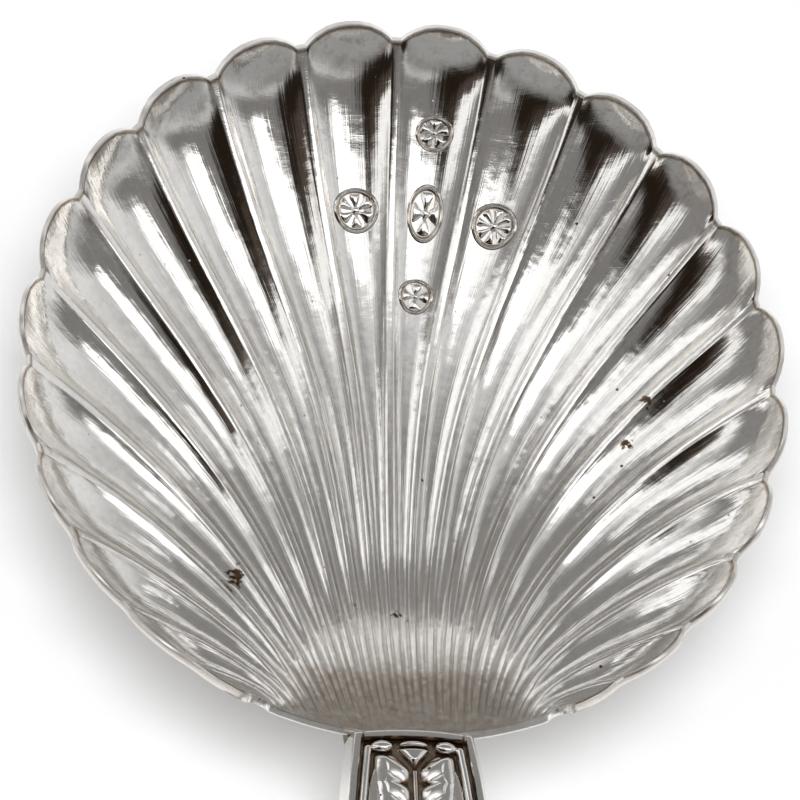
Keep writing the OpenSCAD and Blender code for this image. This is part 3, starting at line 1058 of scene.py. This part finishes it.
# Stains in the bowl: place in the part's frame and radius, in millimetres
STAINS = ((-8.41, 10.86, 1.3), (13.42, 21.5, 0.9), (12.46, 19.43, 0.7), (0.1, 9.4, 0.6), (-1.9, 9.7, 0.5))
STAIN_CORE = 0.2


def scratch_lines(n, at):
    """Fine scratches that cross in a few directions."""
    scratch = 0.0
    for i, (angle, thin, rare) in enumerate(SCRATCHES):
        turned = n.mapped(at, scale=(0.32, thin, 0.6), turn=(0, 0, angle), place=(3.1 * i, 1.7 * i, 0))
        lines = n.noise(turned, scale=1.0, detail=2.0, rough=0.5)
        scratch = n.math("MAXIMUM", scratch, n.band(lines, rare, rare + SCRATCH_SOFT))
    return scratch


def build_wear_group():
    """Worn silver: patches of tarnish, fine scratches, pits and a hand-worked unevenness."""
    group = bpy.data.node_groups.new("worn_silver", "ShaderNodeTree")
    for name, way, kind in WEAR_SOCKETS:
        group.interface.new_socket(name, in_out=way, socket_type="NodeSocket" + kind)
    n = Nodes(group)
    inputs = n.add("NodeGroupInput").outputs
    at = inputs["Vector"]
    patch = n.noise(at, scale=0.28, detail=5.0, rough=0.6)
    fine = n.noise(at, scale=2.6, detail=4.0, rough=0.6)
    wave = n.noise(at, scale=0.55, detail=2.0, rough=0.5)
    scratch = scratch_lines(n, at)
    pit = n.times(n.spots(at, scale=1.1, core=0.03, reach=0.075), n.band(fine, 0.5, 0.62))
    speck = n.spots(at, scale=0.42, core=0.025, reach=0.045)
    speckle = n.band(n.noise(at, scale=7.0, detail=3.0, rough=0.7), 0.58, 0.72)
    film = n.band(patch, 0.5, 0.8)
    dirt = n.mix_of((film, 0.18), (pit, 0.5), (speckle, 0.12), (speck, 1.0))
    # the tarnish input carries painted shade as well on the bowl and the rosettes
    tarnish = n.math("ADD", inputs["Tarnish"], dirt, clamp=True)
    clean = n.blend(n.band(fine, 0.3, 0.75), SILVER_BRIGHT, SILVER_GREY)
    pale = n.blend(n.band(tarnish, 0.0, 0.55), clean, TARNISH_PALE)
    colour = n.blend(n.band(tarnish, 0.45, 1.0), pale, TARNISH_DARK)
    dull = n.band(patch, 0.35, 0.7)
    rough = n.mix_of((dull, 0.05), (fine, 0.04), (scratch, 0.05), (tarnish, 0.22), base=POLISH)
    height = n.mix_of((scratch, -0.008), (pit, -0.3), (fine, 0.12), base=wave)
    n.feed(n.add("NodeGroupOutput"), Color=colour, Roughness=rough, Height=height)
    return group


WEAR = build_wear_group()


def fresh_material(name):
    """A new material with its nodes, its output and a shader that is not linked yet."""
    material = bpy.data.materials.new(name)
    material.use_nodes = True
    material.node_tree.nodes.clear()
    n = Nodes(material.node_tree)
    return material, n, n.add("ShaderNodeOutputMaterial"), n.add("ShaderNodeBsdfPrincipled")


def silver(name, tarnish_and_shade_of, height_of=None, rough_of=None, bump=BUMP):
    """A silver material; tarnish_and_shade_of, height_of and rough_of add the piece's own marks, and on the
    bowl and the rosettes painted shade as well.
    """
    material, n, out, shader = fresh_material(name)
    n.feed(out, Surface=shader.outputs["BSDF"])
    place = n.add("ShaderNodeTexCoord").outputs["Object"]
    in_mm = n.mapped(place, scale=(1 / MM, 1 / MM, 1 / MM))
    wear = n.add("ShaderNodeGroup")
    wear.node_tree = WEAR
    n.feed(wear, Vector=in_mm, Tarnish=tarnish_and_shade_of(n, in_mm))
    n.link(wear.outputs["Color"], shader.inputs["Base Color"])
    rough = wear.outputs["Roughness"]
    if rough_of:
        rough = n.math("ADD", rough, rough_of(n))
    height = wear.outputs["Height"]
    if height_of:
        height = n.math("ADD", height, height_of(n, in_mm))
    bumps = n.add("ShaderNodeBump")
    n.feed(bumps, Distance=bump, Strength=1.0, Height=height)
    n.feed(shader, Metallic=1.0, Roughness=rough, Normal=bumps.outputs["Normal"])
    return material


# Silver of the bowl
def along_flutes(n, across, along):
    """A pattern space that runs with the flutes, by how often it repeats across and along them."""
    space = n.add("ShaderNodeCombineXYZ")
    n.feed(space, X=n.times(n.mark("fan"), across), Y=n.times(n.mark("reach"), along))
    return space.outputs["Vector"]


def heel_film(n, at, x, y):
    """Dark film over the heel, with a ragged edge."""
    edge = n.mix_of((n.noise(at, scale=1.7), 1.4), base=y)
    side = n.mix_of((n.noise(at, scale=0.9), 3.0), base=n.math("ABSOLUTE", x))
    cloud = n.mix_of((n.noise(at, scale=2.4, detail=4.0), 0.75), base=0.2)
    film = n.times(n.below(edge, *HEEL_FILM_ALONG), n.below(side, *HEEL_FILM_ASIDE))
    return n.times(film, cloud)


def stain_spots(n, at, x, y):
    """A few dark stains with blotted edges."""
    blot = n.noise(at, scale=2.6, detail=4.0, rough=0.65)
    total = 0.0
    for stain_x, stain_y, wide in STAINS:
        far = n.length(n.math("SUBTRACT", x, stain_x), n.math("SUBTRACT", y, stain_y))
        near = n.below(far, STAIN_CORE * wide, wide)
        spot = n.band(n.mix_of((near, 0.32), base=blot), 0.76, 0.84)
        total = n.math("ADD", total, n.times(spot, near))
    return total


def bowl_tarnish_and_shade(n, at):
    """Film at the heel, dirt beside the ribs, painted shade just under the rim and along the rim's outer
    rounding, lines down the flutes, and stains.
    """
    hollow = n.mark("hollow")
    edge = n.mark("edge")
    inside = n.mark("inside")
    rim_gap = n.mark("rim_gap")
    x, y, _ = n.split(at)
    corner = n.times(n.band(hollow, 0.0, 0.02), n.below(hollow, 0.04, 0.3))
    corner = n.times(corner, n.band(n.noise(at, scale=0.5), 0.35, 0.65))
    line = n.band(n.noise(along_flutes(n, 26.0, 5.0), scale=1.0, detail=4.0, rough=0.7), 0.58, 0.78)
    film = n.band(n.noise(at, scale=0.62, detail=4.0, rough=0.62), 0.62, 0.74)
    # painted shade: a thin darker line at the foot of the rim land, where its inner wall is in shade
    rim_foot_shade = n.below(rim_gap, *RIM_FOOT_SHADE)
    mottle = n.band(n.noise(at, scale=1.5, detail=5.0, rough=0.7), 0.48, 0.64)
    flute_end = n.times(n.below(rim_gap, *FLUTE_END_DIRT), mottle)
    inner = n.mix_of(
        (heel_film(n, at, x, y), 0.5),
        (corner, 0.3),
        (rim_foot_shade, 0.55),
        (line, 0.22),
        (film, 0.16),
        (flute_end, 0.2),
        base=stain_spots(n, at, x, y),
    )
    face = n.times(inside, n.inverse(edge))
    # painted shade: a darker line along the rim land's outer rounding
    edge_shade = n.times(n.mark("edge_shade"), edge)
    return n.mix_of((inner, face), (n.inverse(inside), 0.12), (edge_shade, 0.32), clamp=True)


def bowl_streaks(n, at):
    """Fine lines left by burnishing along the flutes, and cross hatching near the rim."""
    along = along_flutes(n, 11.0, 2.6)
    broad = n.noise(along, scale=1.0, rough=0.6)
    fine = n.noise(n.mapped(along, scale=(3.2, 1.6, 1)), scale=1.0, rough=0.6)
    lines = n.mix_of((broad, 0.55), (fine, 0.22))
    far = n.band(n.mark("reach"), 0.8, 0.92)
    for angle, place in HATCHES:
        turned = n.mapped(at, scale=(0.6, 7.0, 0.8), turn=(0, 0, angle), place=(place, place, 0))
        hatch = n.band(n.noise(turned, scale=1.0, detail=2.0, rough=0.6), 0.52, 0.72)
        lines = n.mix_of((n.times(hatch, far), -0.02), base=lines)
    return n.times(lines, n.mark("inside"))


def rim_rough(n):
    """The rim's edge is dulled by handling."""
    return n.times(n.mark("edge"), 0.22)


# Silver of the handle, the rosettes and the solder
def handle_tarnish(n, at):
    """Dark ground between bright leaves."""
    ground = n.band(n.mark("sunk"), 0.35, 0.95)
    hollow = n.band(n.mark("hollow"), 0.52, 0.8)
    cloud = n.mix_of((n.noise(at, scale=1.2), 0.7), base=0.6)
    return n.times(n.mix_of((ground, 0.75), (hollow, 0.6)), cloud, clamp=True)


def worn_tops(n):
    """The struck relief is a little softer than a polished face."""
    return n.times(n.mark("hollow"), 0.16)


def rosette_tarnish_and_shadow(n, at):
    """Painted shadow along both edges of the ring, and a little tarnish in the sunk ground."""
    ground = n.band(n.mark("sunk"), 0.6, 1.0)
    cloud = n.mix_of((n.noise(at, scale=1.6), 0.8), base=0.35)
    return n.mix_of((ground, 0.16), (n.mark("outline"), cloud), clamp=True)


def plain_tarnish(n, at):
    return n.times(n.band(n.noise(at, scale=0.35, detail=4.0), 0.45, 0.75), 0.3)


def solder_tarnish(n, at):
    return n.mix_of((n.noise(at, scale=1.6, detail=4.0), 0.35), base=0.35)


bowl_silver = silver("bowl_silver_worn_painted_shade", bowl_tarnish_and_shade, bowl_streaks, rim_rough)
handle_silver = silver("handle_silver_struck", handle_tarnish, None, worn_tops, bump=FINE_BUMP)
rosette_silver = silver("rosette_silver_punched", rosette_tarnish_and_shadow, bump=FINE_BUMP)
back_silver = silver("handle_back_silver", plain_tarnish)
solder_silver = silver("solder_dull", solder_tarnish)

# The pieces
bowl = make_bowl()
bowl.data.materials.append(bowl_silver)
handle_front = make_handle_front()
handle_front.data.materials.append(handle_silver)
handle_back = make_handle_back()
handle_back.data.materials.append(back_silver)
bpy.context.view_layer.update()
for row in ROSETTES:
    rosette = make_rosette(bowl, *row)
    rosette.data.materials.append(rosette_silver)
    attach(rosette, "root")
for piece, node, slot in (
    (bowl, "shell_bowl", "bowl_silver"),
    (handle_front, "handle_front", "handle_silver"),
    (handle_back, "handle_back", "handle_silver"),
):
    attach(piece, "root")
    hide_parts(node)
for node in ("handle_seam", "heel_joint"):
    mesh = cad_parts[node].data
    mesh.materials.clear()
    mesh.materials.append(solder_silver)

# Floor and light, in metres
FLOOR_SIZE = 6.0
FLOOR_TONES = ((0.69, 0.695, 0.70, 1), (0.71, 0.713, 0.717, 1))
FLOOR_GLOW = 0.20
LAMP_AT = (-0.02, -0.11, 0.6)
LAMP_SIZE = 0.42
LAMP_POWER = 2.85

# Room: its tone, and the cards round the spoon, each laid over the ones before it
ROOM_TONE = (0.238, 0.233, 0.227, 1)

# Card: azimuth and elevation of its middle, half angles across and up in degrees, softness of its edge, tone
CARDS = (
    (1, 0, 48, 49, 0.43, (0.76, 0.76, 0.77, 1)),
    (40, 42, 3.2, 10, 0.25, (1.15, 1.15, 1.17, 1)),
    (128, 50, 3, 9, 0.25, (1.1, 1.1, 1.12, 1)),
    (143, 30, 8, 40, 0.2, (1.1, 1.1, 1.12, 1)),
    (-92, 76, 53, 31, 0.3, (0.66, 0.66, 0.67, 1)),
    (-84, 64, 78, 14, 0.25, (0.20, 0.195, 0.19, 1)),
    (-134, 50, 31, 27, 0.27, (0.016, 0.011, 0.007, 1)),
    (-157, 46, 12, 24, 0.4, (0.065, 0.05, 0.04, 1)),
    (-80, 8, 70, 24, 0.4, (0.32, 0.32, 0.32, 1)),
    (-170, 42, 8, 24, 0.22, (1.0, 1.0, 1.0, 1)),
    (88, 12.5, 45, 6.5, 0.15, (0.95, 0.95, 0.96, 1)),
    (-60, 84, 11, 9, 0.2, (1.3, 1.3, 1.3, 1)),
    (171, 77, 5, 18, 0.2, (1.1, 1.1, 1.1, 1)),
    (-12, 68, 10, 22, 0.2, (1.7, 1.7, 1.7, 1)),
)

# Camera: turns in radians, distance and clip in metres, lens and sensor in millimetres
CAMERA_ASIDE = 0.1045
CAMERA_TILT = 0.5201
CAMERA_ROLL = -0.0187
CAMERA_FAR = 0.35
CAMERA_CLIP = 0.01
CAMERA_LENS = 300.8
CAMERA_SENSOR = 36.0
CAMERA_SHIFT = (-0.0041, -0.0307)


def make_floor():
    """A matt white floor with a faint glow that only the camera and reflections see."""
    bpy.ops.object.select_all(action="DESELECT")
    bpy.ops.mesh.primitive_plane_add(size=FLOOR_SIZE, location=(0, 0, 0))
    floor = bpy.context.active_object
    floor.name = "floor"
    material, n, out, shader = fresh_material("floor_white")
    n.link(0.9, shader.inputs["Roughness"])
    n.link(0.0, shader.inputs["Specular IOR Level"])
    place = n.add("ShaderNodeTexCoord").outputs["Object"]
    n.link(n.blend(n.noise(place, scale=40.0, detail=4.0), *FLOOR_TONES), shader.inputs["Base Color"])
    rays = n.add("ShaderNodeLightPath").outputs
    seen = n.math("MAXIMUM", rays["Is Glossy Ray"], rays["Is Transmission Ray"])
    seen = n.math("MAXIMUM", rays["Is Camera Ray"], seen)
    glow = n.add("ShaderNodeEmission")
    n.feed(glow, Strength=n.times(seen, FLOOR_GLOW))
    both = n.add("ShaderNodeAddShader")
    n.link(shader.outputs["BSDF"], both.inputs[0])
    n.link(glow.outputs["Emission"], both.inputs[1])
    n.feed(out, Surface=both.outputs["Shader"])
    floor.data.materials.append(material)


def card(n, towards, azimuth, elevation, wide, high, soft):
    """Where a card stands, 1 on it and 0 off it."""
    turned = n.mapped(towards, turn=(0, 0, math.radians(-azimuth)))
    x, y, z = n.split(n.mapped(turned, turn=(0, math.radians(elevation), 0)))
    side = n.math("DIVIDE", n.math("ARCTAN2", y, x), math.radians(wide))
    up = n.math("DIVIDE", n.math("ARCSINE", z), math.radians(high))
    return n.below(n.length(side, up), 1.0 - soft, 1.0 + soft)


def make_world():
    """A studio round the spoon, made of soft-edged cards by their direction."""
    world = bpy.data.worlds.new("studio")
    bpy.context.scene.world = world
    world.use_nodes = True
    world.node_tree.nodes.clear()
    n = Nodes(world.node_tree)
    out = n.add("ShaderNodeOutputWorld")
    back = n.add("ShaderNodeBackground")
    n.feed(out, Surface=back.outputs["Background"])
    towards = n.add("ShaderNodeTexCoord").outputs["Generated"]
    level = ROOM_TONE
    for *where, tone in CARDS:
        level = n.blend(card(n, towards, *where), level, tone)
    n.feed(back, Color=level, Strength=1.0)


def make_lamp():
    """A soft lamp over the spoon, for the floor and its shadow."""
    data = bpy.data.lights.new("soft_lamp", "AREA")
    data.shape = "DISK"
    data.size = LAMP_SIZE
    data.energy = LAMP_POWER
    lamp = bpy.data.objects.new("soft_lamp", data)
    bpy.context.scene.collection.objects.link(lamp)
    lamp.location = LAMP_AT
    lamp.rotation_euler = (-Vector(LAMP_AT)).to_track_quat("-Z", "Y").to_euler()
    lamp.visible_glossy = False


def make_camera():
    """The camera looks down on the bowl from the handle's side."""
    back = Vector((
        -math.sin(CAMERA_ASIDE),
        -math.sin(CAMERA_TILT) * math.cos(CAMERA_ASIDE),
        math.cos(CAMERA_TILT) * math.cos(CAMERA_ASIDE),
    ))
    up = (Vector((0, 1, 0)) - back * back.y).normalized()
    right = up.cross(back)
    x = right * math.cos(CAMERA_ROLL) + up * math.sin(CAMERA_ROLL)
    y = up * math.cos(CAMERA_ROLL) - right * math.sin(CAMERA_ROLL)
    data = bpy.data.cameras.new("camera")
    camera = bpy.data.objects.new("camera", data)
    bpy.context.scene.collection.objects.link(camera)
    place = Matrix((x, y, back)).transposed().to_4x4()
    place.translation = Vector(BOWL_TO_PART) * MM + back * CAMERA_FAR
    camera.matrix_world = place
    data.sensor_width = CAMERA_SENSOR
    data.lens = CAMERA_LENS
    data.shift_x, data.shift_y = CAMERA_SHIFT
    data.clip_start = CAMERA_CLIP
    bpy.context.scene.camera = camera


make_floor()
make_world()
make_lamp()
make_camera()
bpy.context.scene.view_settings.view_transform = "Standard"
